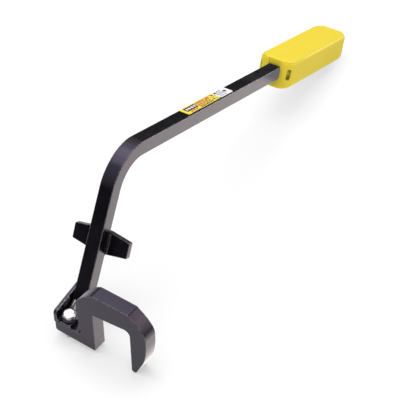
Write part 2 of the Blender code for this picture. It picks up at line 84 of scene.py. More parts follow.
# Pivot hardware and labels: heights and radii in mm
HOLE_R = 4.35                               # through the jaw, the bracket and the washer
WASHER_R, WASHER_T = 7.9, 1.6
WASHER_LOW = PLATE_TOP / MM + GAP_MM
HEAD_H = 5.6
HEAD_LOW = WASHER_LOW + WASHER_T + GAP_MM
NUT_H = 4.7
NUT_LOW = -GAP_MM - NUT_H
COLLAR_H = 1.3
SHANK_R, THREAD_PITCH = 3.97, 1.06
FILM_Z = (0.3, 0.5)                         # bottom and top of the labels, above the bar's face
PRINT_Z = (0.47, 0.53)
OVERPRINT_Z = (0.50, 0.55)


# ---------------------------------------------------------------- frames

def mount(name):
    return next(m for m in frame["record"]["mounts"] if m["name"] == name)


def matrix_of(x, y, z, origin):
    made = Matrix((x, y, z)).transposed().to_4x4()
    made.translation = origin
    return made


def tool_frame():
    """z runs along the pivot bolt, x towards the grip; the origin is under the jaw on the bolt's axis."""
    joint = frame["joints"][0]
    up = Vector(joint["axis"]).normalized()
    push = Vector(mount("pusher_back_face")["axis"])
    ahead = (push - up * push.dot(up)).normalized()
    return matrix_of(ahead, up.cross(ahead), up, Vector(joint["pos_m"]) - up * JOINT_HEIGHT)


TOOL = tool_frame()
LEVER = TOOL @ Matrix.Translation((0, LEVER_Y, 0))
UPPER = LEVER @ Matrix.Translation(BEND) @ Matrix.Rotation(DROP, 4, "Y")
GRIP = UPPER @ Matrix.Translation((GRIP_START, 0, 0))
UP_LEG = Vector((math.cos(RISE), 0, math.sin(RISE)))
LEG_BACK = Vector((math.sin(RISE), 0, -math.cos(RISE)))
OUT_LEG = Vector((math.cos(DROP), 0, -math.sin(DROP)))
JAW = TOOL @ Matrix.Rotation(JAW_YAW, 4, "Z") @ matrix_of(Vector((0, -1, 0)), Vector((0, 0, 1)),
                                                          Vector((-1, 0, 0)), Vector())
PUSHER = LEVER @ matrix_of(Vector((0, -1, 0)), UP_LEG, -LEG_BACK,
                           BEND - UP_LEG * PUSHER_DOWN + LEG_BACK * BAR)


# ---------------------------------------------------------------- materials

def node(tree, kind, inputs=None, **settings):
    """A shader node: inputs take numbers, or other nodes' sockets."""
    made = tree.nodes.new("ShaderNode" + kind)
    for key, value in settings.items():
        setattr(made, key, value)
    for key, value in (inputs or {}).items():
        if isinstance(value, bpy.types.NodeSocket):
            tree.links.new(value, made.inputs[key])
        else:
            made.inputs[key].default_value = value
    return made


def noise(tree, size, detail=3.0, roughness=0.5, stretch=None):
    """Noise whose features are about `size` metres across."""
    where = node(tree, "TexCoord").outputs["Object"]
    if stretch:
        where = node(tree, "Mapping", {"Vector": where, "Scale": stretch}).outputs[0]
    return node(tree, "TexNoise", {"Vector": where, "Scale": 1 / size, "Detail": detail,
                                   "Roughness": roughness}).outputs["Fac"]


def ranged(tree, value, low, high, to_low=0.0, to_high=1.0):
    return node(tree, "MapRange", {"Value": value, "From Min": low, "From Max": high, "To Min": to_low,
                                   "To Max": to_high}, clamp=True).outputs[0]


def maths(tree, operation, a, b=0.0):
    return node(tree, "Math", {0: a, 1: b}, operation=operation, use_clamp=True).outputs[0]


def colour_mix(tree, share, a, b):
    """Two colours mixed by a share."""
    made = tree.nodes.new("ShaderNodeMix")
    made.data_type = "RGBA"
    for socket, value in ((made.inputs[0], share), (made.inputs[6], a), (made.inputs[7], b)):
        if isinstance(value, bpy.types.NodeSocket):
            tree.links.new(value, socket)
        else:
            socket.default_value = value
    return made.outputs[2]


def edges(tree, radius, low=0.5, high=0.97):
    """1 on edges and 0 on flats, from the angle between the plain normal and the bevelled one."""
    bevelled = node(tree, "Bevel", {"Radius": radius}, samples=6)
    plain = node(tree, "NewGeometry")
    dot = node(tree, "VectorMath", {0: bevelled.outputs[0], 1: plain.outputs["Normal"]},
               operation="DOT_PRODUCT")
    return ranged(tree, dot.outputs["Value"], high, low)


def bumped(tree, layers):
    """Bump layers on each other: (height, strength, distance in metres)."""
    normal = None
    for height, strength, distance in layers:
        inputs = {"Height": height, "Strength": strength, "Distance": distance}
        if normal:
            inputs["Normal"] = normal
        normal = node(tree, "Bump", inputs).outputs[0]
    return normal


def material(name, **fixed):
    """A Principled material; `fixed` are values that are the same all over it."""
    made = bpy.data.materials.new(name)
    made.use_nodes = True
    shader = made.node_tree.nodes["Principled BSDF"]
    for key, value in fixed.items():
        shader.inputs[key.replace("_", " ")].default_value = value
    return made, made.node_tree, shader


def feed(tree, shader, **sockets):
    for key, value in sockets.items():
        tree.links.new(value, shader.inputs[key.replace("_", " ")])


def black_paint(name, ripple=0.0, wear=0.7, bare=0.40, flats=0.0):
    """Gloss black paint on steel: orange peel, dust, and bare steel.

    `wear` is how much steel shows, `bare` the noise level where it starts, and `flats` adds it on flats too.
    """
    made, tree, shader = material(name, IOR=1.44, Specular_Tint=(0.78, 0.68, 1.0, 1))
    peel = noise(tree, 1.1 * MM, 3)
    grain = noise(tree, 0.35 * MM, 4, 0.6)
    cloud = noise(tree, 22 * MM, 4, 0.55)
    worn = maths(tree, "ADD", edges(tree, 1.6 * MM, 0.86, 0.99), flats)
    rubbed = maths(tree, "MULTIPLY", worn, ranged(tree, noise(tree, 1.6 * MM, 4, 0.7), bare, bare + 0.15))
    rubbed = maths(tree, "MULTIPLY", rubbed, wear)
    specks = ranged(tree, noise(tree, 0.5 * MM, 2, 0.5), 0.72, 0.78, 0, 0.5)
    base = colour_mix(tree, cloud, (0.0030, 0.0027, 0.0036, 1), (0.0050, 0.0044, 0.0056, 1))
    base = colour_mix(tree, specks, base, (0.03, 0.027, 0.03, 1))
    base = colour_mix(tree, rubbed, base, (0.60, 0.57, 0.58, 1))
    rough = maths(tree, "ADD", ranged(tree, cloud, 0.3, 0.7, 0.15, 0.21),
                  ranged(tree, grain, 0.3, 0.7, 0.0, 0.06))
    layers = [(peel, 0.10 + ripple, 0.05 * MM), (grain, 0.16, 0.02 * MM), (cloud, 0.10, 0.4 * MM)]
    feed(tree, shader, Base_Color=base, Roughness=rough, Normal=bumped(tree, layers), Metallic=rubbed)
    return made


def zinc_plate(name):
    """Bright zinc plate with cloudy dull areas and dark spots."""
    made, tree, shader = material(name, Metallic=1.0)
    cloud = noise(tree, 2.4 * MM, 4, 0.6)
    fine = noise(tree, 0.3 * MM, 3, 0.6)
    spots = ranged(tree, noise(tree, 1.5 * MM, 3, 0.7), 0.54, 0.60, 0, 0.9)
    base = colour_mix(tree, cloud, (0.52, 0.53, 0.55, 1), (0.84, 0.84, 0.84, 1))
    base = colour_mix(tree, spots, base, (0.10, 0.10, 0.11, 1))
    rough = maths(tree, "ADD", ranged(tree, cloud, 0.3, 0.7, 0.18, 0.26),
                  ranged(tree, fine, 0.3, 0.7, 0, 0.1))
    layers = [(fine, 0.15, 0.02 * MM), (cloud, 0.15, 0.05 * MM)]
    feed(tree, shader, Base_Color=base, Roughness=rough, Normal=bumped(tree, layers))
    return made


def moulded_plastic(name, light, deep):
    """Satin moulded plastic: fine grain, flow marks, dirt, a painted edge highlight and painted shade in deep
    slots.
    """
    made, tree, shader = material(name, IOR=1.47, Specular_IOR_Level=0.12)
    grain = noise(tree, 0.45 * MM, 3, 0.6)
    coarse = noise(tree, 1.3 * MM, 3, 0.5)
    flow = noise(tree, 26 * MM, 4, 0.55, stretch=(0.35, 1, 1))
    corner = edges(tree, 1.2 * MM, 0.6, 0.995)
    base = colour_mix(tree, flow, (*light, 1), (*deep, 1))
    base = colour_mix(tree, ranged(tree, grain, 0.35, 0.65, 0, 0.18), base, (*[c * 0.8 for c in deep], 1))
    dirt = ranged(tree, noise(tree, 7 * MM, 5, 0.65), 0.60, 0.74, 0, 0.22)
    base = colour_mix(tree, dirt, base, (0.62, 0.47, 0.09, 1))
    # Painted highlight: the colour goes towards a lighter yellow on the edges found by the bevel mask.
    base = colour_mix(tree, maths(tree, "MULTIPLY", corner, 0.35), base, (1.0, 0.86, 0.25, 1))
    # Painted shade: the colour goes near black where ambient occlusion finds a recess, such as the deep
    # slots.
    painted_recess_shade = node(tree, "AmbientOcclusion", {"Distance": 7 * MM}, samples=8).outputs["AO"]
    base = colour_mix(tree, ranged(tree, painted_recess_shade, 0.62, 0.30), base, (0.03, 0.022, 0.004, 1))
    rough = maths(tree, "ADD", ranged(tree, coarse, 0.3, 0.7, 0.46, 0.56),
                  ranged(tree, grain, 0.3, 0.7, 0, 0.08))
    layers = [(grain, 0.35, 0.05 * MM), (coarse, 0.2, 0.06 * MM)]
    feed(tree, shader, Base_Color=base, Roughness=rough, Normal=bumped(tree, layers))
    return made


def printed_film(name, colour, other):
    """Printed film: slight mottling, a satin varnish and rubbed edges."""
    made, tree, shader = material(name, IOR=1.48)
    mottle = noise(tree, 1.6 * MM, 4, 0.6)
    fine = noise(tree, 0.25 * MM, 2, 0.5)
    base = colour_mix(tree, mottle, (*colour, 1), (*other, 1))
    base = colour_mix(tree, maths(tree, "MULTIPLY", edges(tree, 0.3 * MM), 0.5), base, (0.30, 0.28, 0.22, 1))
    feed(tree, shader, Base_Color=base, Roughness=ranged(tree, mottle, 0.3, 0.7, 0.30, 0.46),
         Normal=bumped(tree, [(fine, 0.1, 0.01 * MM), (mottle, 0.1, 0.02 * MM)]))
    return made


PAINT = black_paint("black_paint")
WELD_PAINT = black_paint("weld_paint", 0.3, 0.15)
BARE_WELD = black_paint("bare_weld", 0.4, 1.0, 0.34, 0.9)
ZINC = zinc_plate("zinc_plate")
YELLOW = moulded_plastic("yellow_plastic", (0.80, 0.635, 0.045), (0.74, 0.565, 0.035))
# The bead's plastic is painted a lighter yellow than the body's: a painted highlight along the rim.
RIM_HIGHLIGHT_YELLOW = moulded_plastic("rim_plastic_painted_highlight", (0.92, 0.80, 0.20), (0.86, 0.72, 0.14))
FILMS = {"yellow": printed_film("film_yellow", (0.84, 0.72, 0.07), (0.78, 0.64, 0.06)),
         "white": printed_film("film_white", (0.86, 0.86, 0.86), (0.76, 0.76, 0.78)),
         "black": printed_film("film_black", (0.006, 0.006, 0.007), (0.016, 0.015, 0.017)),
         "red": printed_film("film_red", (0.55, 0.07, 0.02), (0.68, 0.16, 0.04)),
         "grey": printed_film("film_grey", (0.28, 0.28, 0.34), (0.40, 0.38, 0.42))}


# ---------------------------------------------------------------- shapes

def mesh_from(bm, name):
    mesh = bpy.data.meshes.new(name)
    bmesh.ops.recalc_face_normals(bm, faces=bm.faces)
    bm.to_mesh(mesh)
    bm.free()
    return mesh


def loft(name, rings, closed=False):
    """A closed solid through rings of points; the end rings are capped, or joined when it is closed."""
    bm = bmesh.new()
    loops = [[bm.verts.new(p) for p in ring] for ring in rings]
    pairs = list(zip(loops, loops[1:])) + ([(loops[-1], loops[0])] if closed else [])
    count = len(loops[0])
    for low, high in pairs:
        for i in range(count):
            j = (i + 1) % count
            bm.faces.new((low[i], low[j], high[j], high[i]))
    if not closed:
        bm.faces.new(reversed(loops[0]))
        bm.faces.new(loops[-1])
    return mesh_from(bm, name)


def lathe(name, profile, sides=64, closed=False, at=(0, 0)):
    """A turned solid from (radius, height) points in mm, about an upright axis `at` (x, y) in metres."""
    turns = [2 * math.pi * k / sides for k in range(sides)]
    rings = [[(at[0] + r * MM * math.cos(t), at[1] + r * MM * math.sin(t), z * MM) for t in turns]
             for r, z in profile]
    return loft(name, rings, closed)


def box_mesh(name, low, high):
    corners = [(low[0], low[1]), (high[0], low[1]), (high[0], high[1]), (low[0], high[1])]
    return loft(name, [[(x, y, z) for x, y in corners] for z in (low[2], high[2])])


def hexagon(name, flats, bottom, top):
    radius = flats / 2 / math.cos(math.pi / 6)
    turns = [math.pi / 3 * k for k in range(6)]
    return loft(name, [[(radius * math.cos(t), radius * math.sin(t), z) for t in turns]
                       for z in (bottom, top)])


def rounded(corners, steps=6):
    """An outline from (x, y, radius) corners: each corner with a radius becomes an arc."""
    points = []
    for i, (x, y, radius) in enumerate(corners):
        here = Vector((x, y))
        before = (Vector(corners[i - 1][:2]) - here).normalized()
        after = (Vector(corners[(i + 1) % len(corners)][:2]) - here).normalized()
        if radius == 0:
            points.append(here)
            continue
        half = before.angle(after) / 2
        reach = radius / math.tan(half)
        centre = here + (before + after).normalized() * (radius / math.sin(half))
        start = here + before * reach - centre
        turn = start.angle_signed(here + after * reach - centre)
        points += [centre + Matrix.Rotation(-turn * k / steps, 2) @ start for k in range(steps + 1)]
    return points


def loose(name, mesh, place=Matrix.Identity(4)):
    """An object that isn't a piece yet, with its place in its vertices."""
    mesh.transform(place)
    if place.determinant() < 0:
        mesh.flip_normals()
    obj = bpy.data.objects.new(name, mesh)
    bpy.context.scene.collection.objects.link(obj)
    return obj


def worked(obj):
    """obj with its modifiers applied."""
    graph = bpy.context.evaluated_depsgraph_get()
    mesh = bpy.data.meshes.new_from_object(obj.evaluated_get(graph))
    obj.modifiers.clear()
    obj.data = mesh
    return obj


def carve(obj, *cutters, operation="DIFFERENCE"):
    for cutter in cutters:
        modifier = obj.modifiers.new("carve", "BOOLEAN")
        modifier.operation = operation
        modifier.solver = "EXACT"
        modifier.object = cutter
    worked(obj)
    for cutter in cutters:
        bpy.data.objects.remove(cutter)
    return obj


def soften(obj, width, segments=2, angle=35):
    bevel = obj.modifiers.new("soften", "BEVEL")
    bevel.width = width
    bevel.segments = segments
    bevel.limit_method = "ANGLE"
    bevel.angle_limit = math.radians(angle)
    return worked(obj)


def piece(obj, look, nodes=(), angle=35, body=LEVER_BODY, level_faces=False):
    """Makes obj a piece of the tool: its finish, its smoothing, its body and what it stands for."""
    obj.data.materials.clear()
    obj.data.materials.append(look)
    obj.data.shade_smooth()
    obj.data.set_sharp_from_angle(angle=math.radians(angle))
    if level_faces:
        weighted = obj.modifiers.new("level faces", "WEIGHTED_NORMAL")
        weighted.keep_sharp = True
    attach(obj, body)
    if nodes:
        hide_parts(*nodes)
    return obj


# ---------------------------------------------------------------- steel pieces

def prism(name, points, low, high, place):
    """An outline filled and extruded along its own z."""
    return loose(name, loft(name, [[(p.x, p.y, z) for p in points] for z in (low, high)]), place)


def build_bar():
    """The bar's rounded square swept up the lower leg, round the bend and down into the grip."""
    lower, upper = -LEG_BACK, Vector((math.sin(DROP), 0, math.cos(DROP)))
    centre = BEND - (lower + upper) * BEND_RADIUS / (1 + lower.dot(upper))
    foot_z = PLATE_TOP + GAP
    section = rounded([(-BAR / 2, 0, 0.7 * MM), (BAR / 2, 0, 0.7 * MM), (BAR / 2, BAR, 0.7 * MM),
                       (-BAR / 2, BAR, 0.7 * MM)], 4)

    def ring(outer, normal):
        return [outer + Vector((0, p.x, 0)) - normal * p.y for p in section]

    start = centre + lower * BEND_RADIUS
    rings = []
    for along in (0.0, 0.25, 0.5, 0.75):
        foot = ring(start - UP_LEG * (start.z - foot_z) / UP_LEG.z * (1 - along), lower)
        rings.append([p + UP_LEG * ((foot_z - p.z) / UP_LEG.z) for p in foot] if along == 0 else foot)
    sweep = lower.angle(upper)
    for k in range(49):
        normal = Matrix.Rotation(sweep * k / 48, 3, "Y") @ lower
        rings.append(ring(centre + normal * BEND_RADIUS, normal))
    last = centre + upper * BEND_RADIUS
    stop = BEND + OUT_LEG * (GRIP_START + BAR_IN_GRIP)
    rings += [ring(last.lerp(stop, along), upper) for along in (0.25, 0.5, 0.75, 1.0)]
    piece(loose("square_bar", loft("square_bar", rings), LEVER), PAINT, ["lever_bar"], 50,
          level_faces=True)


def jaw_outline():
    slot_x, crown_z, end, shoulder_z, ledge = 38.0, 80.5, 102.7, 59.5, 14.0
    finger_x = slot_x + 45.3
    shoulder, crown = Vector((17.0, shoulder_z)), Vector((slot_x + 1.0, crown_z))
    chord = crown - shoulder
    bulge = Vector((-chord.y, chord.x)).normalized() * 2.2
    arc = [(*(shoulder + chord * t + bulge * 4 * t * (1 - t)), 0) for t in [k / 10 for k in range(9, 0, -1)]]
    corners = [(-13.0, 0, 3.0), (slot_x, 0, 1.0), (slot_x, 52.5, 1.5), (finger_x, 57.9, 6.0),
               (finger_x + 0.4, 1.0, 2.6), (finger_x + 5.6, 1.0, 2.4), (end - 2.9, 24.0, 60), (end, 40.0, 80),
               (end, shoulder_z + 1, 16), (94.2, 71.8, 45), (82.0, crown_z, 5.0), (*crown, 2.5), *arc,
               (*shoulder, 0.8), (16.8, 42.0, 4.0), (21.3, ledge, 4.5), (-13.0, ledge, 1.0)]
    return [p * MM for p in rounded(corners, 10)]


def build_jaw():
    jaw = prism("jaw_plate", jaw_outline(), -JAW_T / 2, JAW_T / 2, JAW)
    soften(jaw, 0.6 * MM, 3, 40)
    carve(jaw, loose("jaw_hole", lathe("jaw_hole", [(HOLE_R, -2), (HOLE_R, 16)], 64), TOOL))
    piece(jaw, PAINT, ["hook_jaw"], 35, JAW_BODY, True)


def build_bracket():
    """A short length of angle: its section, extruded along, meets its side view, extruded across."""
    half, wall = BAR / 2 / MM, 3.8
    inner = half + GAP_MM
    outer = inner + wall
    low, top = 14.3, PLATE_TOP / MM
    front, rear, nose, tail = -9.5, 38.5, 30.6, 36.8
    hair = 0.1                              # inside the CAD bracket, so that the jaw clears it at its stops
    section = rounded([(hair - half, low, 0.8), (outer - hair, low, 2.5), (outer - hair, tail + 5, 0),
                       (inner, tail + 5, 0), (inner, top, 1.2), (hair - half, top, 0.8)], 8)
    along = LEVER @ matrix_of(Vector((0, 1, 0)), Vector((0, 0, 1)), Vector((1, 0, 0)), Vector())
    bracket = prism("angle_bracket", [p * MM for p in section], (front - 1) * MM, (rear + 1) * MM, along)
    side_view = rounded([(front + hair, low - 1, 0), (rear - hair, low - 1, 0), (rear - hair, tail, 1.5),
                         (front + hair, nose, 4)], 8)
    sideways = LEVER @ matrix_of(Vector((1, 0, 0)), Vector((0, 0, 1)), Vector((0, -1, 0)), Vector())
    trim = prism("bracket_trim", [p * MM for p in side_view], (-outer - 1) * MM, (half + 1) * MM, sideways)
    carve(bracket, trim, operation="INTERSECT")
    soften(bracket, 0.4 * MM, 3, 40)
    hole = lathe("plate_hole", [(HOLE_R, low - 2), (HOLE_R, top + 2)], 64)
    carve(bracket, loose("plate_hole", hole, TOOL))
    piece(bracket, PAINT, ["pivot_bracket"], 35, level_faces=True)


def build_pusher():
    half, mid, end, neck = 33.0, PUSHER_MID_H / 2 / MM, 8.5, BAR / 2 / MM
    corners = [(half, -end, 1.5), (half, end, 1.5), (neck, mid, 3), (-neck, mid, 3), (-half, end, 1.5),
               (-half, -end, 1.5), (-neck, -mid, 3), (neck, -mid, 3)]
    askew = PUSHER @ Matrix.Rotation(PUSHER_TURN, 4, "Z") @ Matrix.Translation((-0.9 * MM, 0, 0))
    plate = prism("cross_plate", [p * MM for p in rounded(corners, 8)], -6.65 * MM, -GAP, askew)
    soften(plate, 0.6 * MM, 3, 40)
    piece(plate, PAINT, ["pusher_plate"], 35, level_faces=True)


# ---------------------------------------------------------------- welds

def bead(name, place, length, size, node_name, ripples=1.3 * MM, look=None):
    """A fillet weld along z in its corner: crescent ripples, tapered ends and a slightly wandering toe."""
    rings_count = max(24, int(length / (0.22 * MM)))
    arc = 12
    rings = []
    for k in range(rings_count + 1):
        along = k / rings_count
        z = (along - 0.5) * length
        taper = math.sqrt(max(0.0, 1 - (abs(2 * along - 1)) ** 6)) * 0.45 + 0.55
        wander = 1 + 0.04 * math.sin(9.1 * along * length / (10 * MM)) + 0.03 * math.sin(23.7 * along)
        ring = [Vector((0, 0, z))]
        for m in range(arc + 1):
            across = m / arc
            bow = math.sin(math.pi * across)
            phase = (z / ripples - 0.55 * bow) * 2 * math.pi
            crest = 1 + 0.045 * (abs(math.sin(phase / 2)) - 0.6) * bow
            chord = Vector((size * (1 - across), size * across)) * taper * wander
            swell = 0.20 * size * bow * taper * crest
            ring.append(Vector((chord.x + swell * 0.707 * crest, chord.y + swell * 0.707 * crest, z)))
        rings.append(ring)
    return piece(loose(name, loft(name, rings), place), look or WELD_PAINT, [node_name], 60)


def build_welds():
    half = BAR / 2
    quarter = math.pi / 2
    flank = PUSHER_MID_H - 3 * MM
    askew = Matrix.Rotation(PUSHER_TURN, 4, "Z")
    for side, name in ((1, "right"), (-1, "left")):
        turn = Matrix.Rotation(quarter, 4, "X") if side > 0 else (
            Matrix.Rotation(math.pi, 4, "Z") @ Matrix.Rotation(quarter, 4, "X"))
        place = PUSHER @ Matrix.Translation((side * (half + GAP), 0, 0)) @ turn
        bead(f"weld_bead_{name}", place, flank, 1.9 * MM, f"pusher_weld_{name}")
    for side, name in ((1, "top"), (-1, "bottom")):
        turn = Matrix.Rotation(quarter, 4, "Y") if side > 0 else (
            Matrix.Rotation(quarter, 4, "Y") @ Matrix.Rotation(math.pi, 4, "X"))
        place = PUSHER @ askew @ Matrix.Translation((0, side * (PUSHER_MID_H / 2 + GAP), -GAP)) @ turn
        bead(f"weld_bead_{name}", place, BAR - 2 * MM, 3.0 * MM, f"pusher_weld_{name}")
    foot_x = BEND.x - (BEND.z - PLATE_TOP) / math.tan(RISE)
    level = PLATE_TOP + GAP
    size = 5.0 * MM
    for name, ahead, reach, climb, x in (("front", -1, 5.5, 8.5, foot_x - GAP),
                                         ("rear", 1, 5.5, 4.5, foot_x + BAR / math.sin(RISE) + GAP)):
        lean = UP_LEG * (climb * MM / size)
        place = LEVER @ matrix_of(Vector((ahead * reach * MM / size, 0, 0)), lean, Vector((0, 1, 0)),
                                  Vector((x, 0, level)))
        bead(f"weld_bead_foot_{name}", place, BAR - 2 * MM, size, f"foot_weld_{name}", 2.2 * MM, BARE_WELD)


# ---------------------------------------------------------------- pivot hardware

def build_washer():
    outer, inner, top = WASHER_R, HOLE_R, WASHER_LOW + WASHER_T
    profile = [(inner, WASHER_LOW + 0.15), (inner + 0.15, WASHER_LOW), (outer - 0.2, WASHER_LOW),
               (outer, WASHER_LOW + 0.25), (outer, top - 0.45), (outer - 0.35, top - 0.1), (outer - 0.8, top),
               (inner + 0.25, top), (inner, top - 0.2)]
    washer = lathe("washer", profile, 72, closed=True)
    piece(loose("flat_washer", washer, TOOL), PAINT, ["head_washer"], 50)


def build_bolt():
    """A hexagon head with a domed rim and a shallow recess, on a shank that is ridged below the jaw."""
    top = HEAD_LOW + HEAD_H
    place = TOOL @ Matrix.Rotation(HEAD_TURN, 4, "Z")
    head = loose("bolt_head", hexagon("bolt_head", HEX_FLATS, HEAD_LOW * MM, top * MM), place)
    dome = lathe("head_dome", [(5.6, HEAD_LOW - 0.3), (7.5, HEAD_LOW + 0.5), (7.5, top - 1.1),
                               (5.6, top - 0.1), (4.9, top + 0.2)], 96)
    carve(head, loose("head_dome", dome, place), operation="INTERSECT")
    recess = lathe("head_recess", [(4.3, top - 0.25), (4.7, top + 0.3)], 64)
    carve(head, loose("head_recess", recess, place))
    end = NUT_LOW - COLLAR_H + 0.5
    profile = [(2.9, end), (3.5, end + 0.6)]
    z = end + 0.6
    while z < -0.6:
        profile += [(3.92, z + 0.32), (3.92, z + 0.48), (3.45, z + 0.85), (3.45, z + 0.95)]
        z += THREAD_PITCH
    profile += [(SHANK_R, z + 0.4), (SHANK_R, HEAD_LOW + 0.6)]
    shank = lathe("bolt_shank", profile, 48)
    carve(head, loose("bolt_shank", shank, place), operation="UNION")
    piece(head, ZINC, ["pivot_bolt"], 30)


def build_nut():
    """A hexagon with domed rims, and the collar of a lock nut under it."""
    nut = loose("nut_body", hexagon("nut_body", HEX_FLATS, NUT_LOW * MM, -GAP), TOOL)
    shape = lathe("nut_dome", [(5.5, NUT_LOW - 0.2), (7.5, NUT_LOW + 0.8), (7.5, -1.1), (5.5, -0.1)], 96)
    carve(nut, loose("nut_dome", shape, TOOL), operation="INTERSECT")
    collar = lathe("nut_collar", [(4.9, NUT_LOW - COLLAR_H), (5.25, NUT_LOW - 1.15), (5.4, NUT_LOW - 0.8),
                                  (5.4, NUT_LOW + 0.6)], 72)
    carve(nut, loose("nut_collar", collar, TOOL), operation="UNION")
    bore = lathe("nut_bore", [(4.1, NUT_LOW - 3), (4.1, 1)], 64)
    carve(nut, loose("nut_bore", bore, TOOL))
    piece(nut, ZINC, ["lock_nut"], 30)


# ---------------------------------------------------------------- grip

def end_inset(along, front, rear):
    """How far an outline has drawn in at this distance along, for the rounding radius of each end."""
    near = max(0.0, 1 - along / front)
    far = max(0.0, 1 - (GRIP_L - along) / rear)
    return front * (1 - math.sqrt(1 - near ** 2)) + rear * (1 - math.sqrt(1 - far ** 2))


def grip_section(along, inset, steps=9):
    """A rounded rectangle across the grip; each end of the grip is rounded in plan and from the side."""
    half = GRIP_W / 2 - end_inset(along, GRIP_FRONT, GRIP_REAR) - inset
    top = GRIP_TOP - end_inset(along, 5 * MM, 6 * MM) - inset
    low = GRIP_TOP - GRIP_H + end_inset(along, 4 * MM, 11 * MM) + inset
    under = min(11 * MM, half - 0.5 * MM)
    over = min(6 * MM, half - 0.5 * MM)
    return rounded([(-half, low, under), (half, low, under), (half, top, over), (-half, top, over)], steps)


def grip_stations(steps=18):
    turns = [math.pi / 2 * k / steps for k in range(steps + 1)]
    front = [GRIP_FRONT * (1 - math.cos(t)) for t in turns]
    rear = [GRIP_L - GRIP_REAR * (1 - math.cos(t)) for t in reversed(turns)]
    middle = [front[-1] + (rear[0] - front[-1]) * k / 14 for k in range(1, 14)]
    return front + middle + rear


def grip_block(name, inset=0.0):
    rings = [[(along, p.x, p.y) for p in grip_section(along, inset)] for along in grip_stations()]
    return loose(name, loft(name, rings), GRIP)


def grip_box(name, low, high, turn=Matrix.Identity(4)):
    return loose(name, box_mesh(name, [v * MM for v in low], [v * MM for v in high]), GRIP @ turn)


def build_grip():
    seam = (GRIP_TOP - SEAM_DROP) / MM
    bar = BAR / 2 / MM + GAP_MM
    depth = BAR / MM + GAP_MM
    tray = grip_block("grip_body", 0.15 * MM)
    cutters = [grip_box("above", (-10, -60, seam - GAP_MM), (200, 60, seam + 30)),
               grip_box("channel", (-10, -bar, -depth), (BAR_IN_GRIP / MM + 1, bar, seam + 1))]
    for side in (-1, 1):
        spot = Matrix.Translation((4.3 * MM, side * (GRIP_W / 2 - 4.8 * MM), -8.0 * MM))
        turn = Matrix.Rotation(side * SLOT_TURN, 4, "Z")
        wide, tall = SLOT_HALF
        corners = [(-wide, -tall), (wide, -tall), (wide, tall), (-wide, tall)]
        outline = rounded([(x, y, 2.6) for x, y in corners], 8)
        slit = loft("slit", [[(p.x * MM, y * MM, p.y * MM) for p in outline] for y in (-7, 7)])
        cutters.append(loose("slit", slit, GRIP @ spot @ turn))
    low = (GRIP_TOP - GRIP_H) / MM
    for along, across in screw_places():
        hole = lathe("recess", [(3.8, low - 1), (3.8, low + 3), (2.05, low + 3.2), (2.05, low + 8)], 40,
                     at=(along, across))
        cutters.append(loose("recess", hole, GRIP))
    carve(tray, *cutters)
    soften(tray, 0.35 * MM, 2, 50)
    piece(tray, YELLOW, ["grip_lower_shell"], 40)

    lid = grip_block("grip_lid", 0.30 * MM)
    carve(lid, grip_box("below", (-10, -60, -60), (200, 60, seam)))
    rib = grip_box("rib", (0.6, GAP_MM - bar, GAP_MM), (BAR_IN_GRIP / MM, bar - GAP_MM, seam + 1))
    carve(lid, rib, operation="UNION")
    soften(lid, 0.35 * MM, 2, 50)
    piece(lid, YELLOW, ["grip_upper_shell"], 40)
    build_rim(seam - RIM_R / MM)
    for shell in (tray, lid):               # no yellow in the bar's gloss or on the floor
        shell.visible_glossy = False
        shell.visible_diffuse = False
    build_screws()


def seam_loop(level):
    """The points round the body's outline at this height in mm, in the grip's frame."""
    source = grip_block("rim_source", RIM_SINK)
    bm = bmesh.new()
    bm.from_mesh(source.data)
    bpy.data.objects.remove(source)
    bm.transform(GRIP.inverted())
    cut = bmesh.ops.bisect_plane(bm, geom=bm.verts[:] + bm.edges[:] + bm.faces[:],
                                 plane_co=(0, 0, level * MM), plane_no=(0, 0, 1), clear_inner=True,
                                 clear_outer=True)["geom_cut"]
    left = {e for e in cut if isinstance(e, bmesh.types.BMEdge)}
    first = min(left, key=lambda e: (e.verts[0].co.x + e.verts[1].co.x, e.verts[0].co.y))
    path, vertex = [], first.verts[0]
    while left:
        step = next((e for e in vertex.link_edges if e in left), None)
        if step is None:
            break
        left.discard(step)
        path.append(vertex.co.copy())
        vertex = step.other_vert(vertex)
    bm.free()
    return path


def build_rim(level):
    """A raised bead beside the parting line, from one side round the rear to the other side."""
    path = [p for p in seam_loop(level) if p.x > RIM_START]
    gap = max(range(len(path)), key=lambda i: (path[i] - path[i - 1]).length)
    path = path[gap:] + path[:gap]
    curve = bpy.data.curves.new("rim", "CURVE")
    curve.dimensions = "3D"
    curve.bevel_depth = RIM_R
    curve.bevel_resolution = 4
    curve.use_fill_caps = True
    spline = curve.splines.new("POLY")
    spline.points.add(len(path) - 1)
    for number, (point, place) in enumerate(zip(spline.points, path)):
        point.co = (*place, 1)
        point.radius = min(1, 0.25 + 0.25 * min(number, len(path) - 1 - number))
    carrier = bpy.data.objects.new("rim", curve)
    bpy.context.scene.collection.objects.link(carrier)
    mesh = bpy.data.meshes.new_from_object(
        carrier.evaluated_get(bpy.context.evaluated_depsgraph_get()))
    bpy.data.objects.remove(carrier)
    # The bead takes the lighter yellow of the painted highlight.
    piece(loose("grip_rim", mesh, GRIP), RIM_HIGHLIGHT_YELLOW, (), 60)


def screw_places():
    across = (BAR / 2 + 2.5 * MM + GRIP_W / 2 - 3 * MM) / 2
    return [(along * MM, side * across) for along in (52, 132) for side in (-1, 1)]


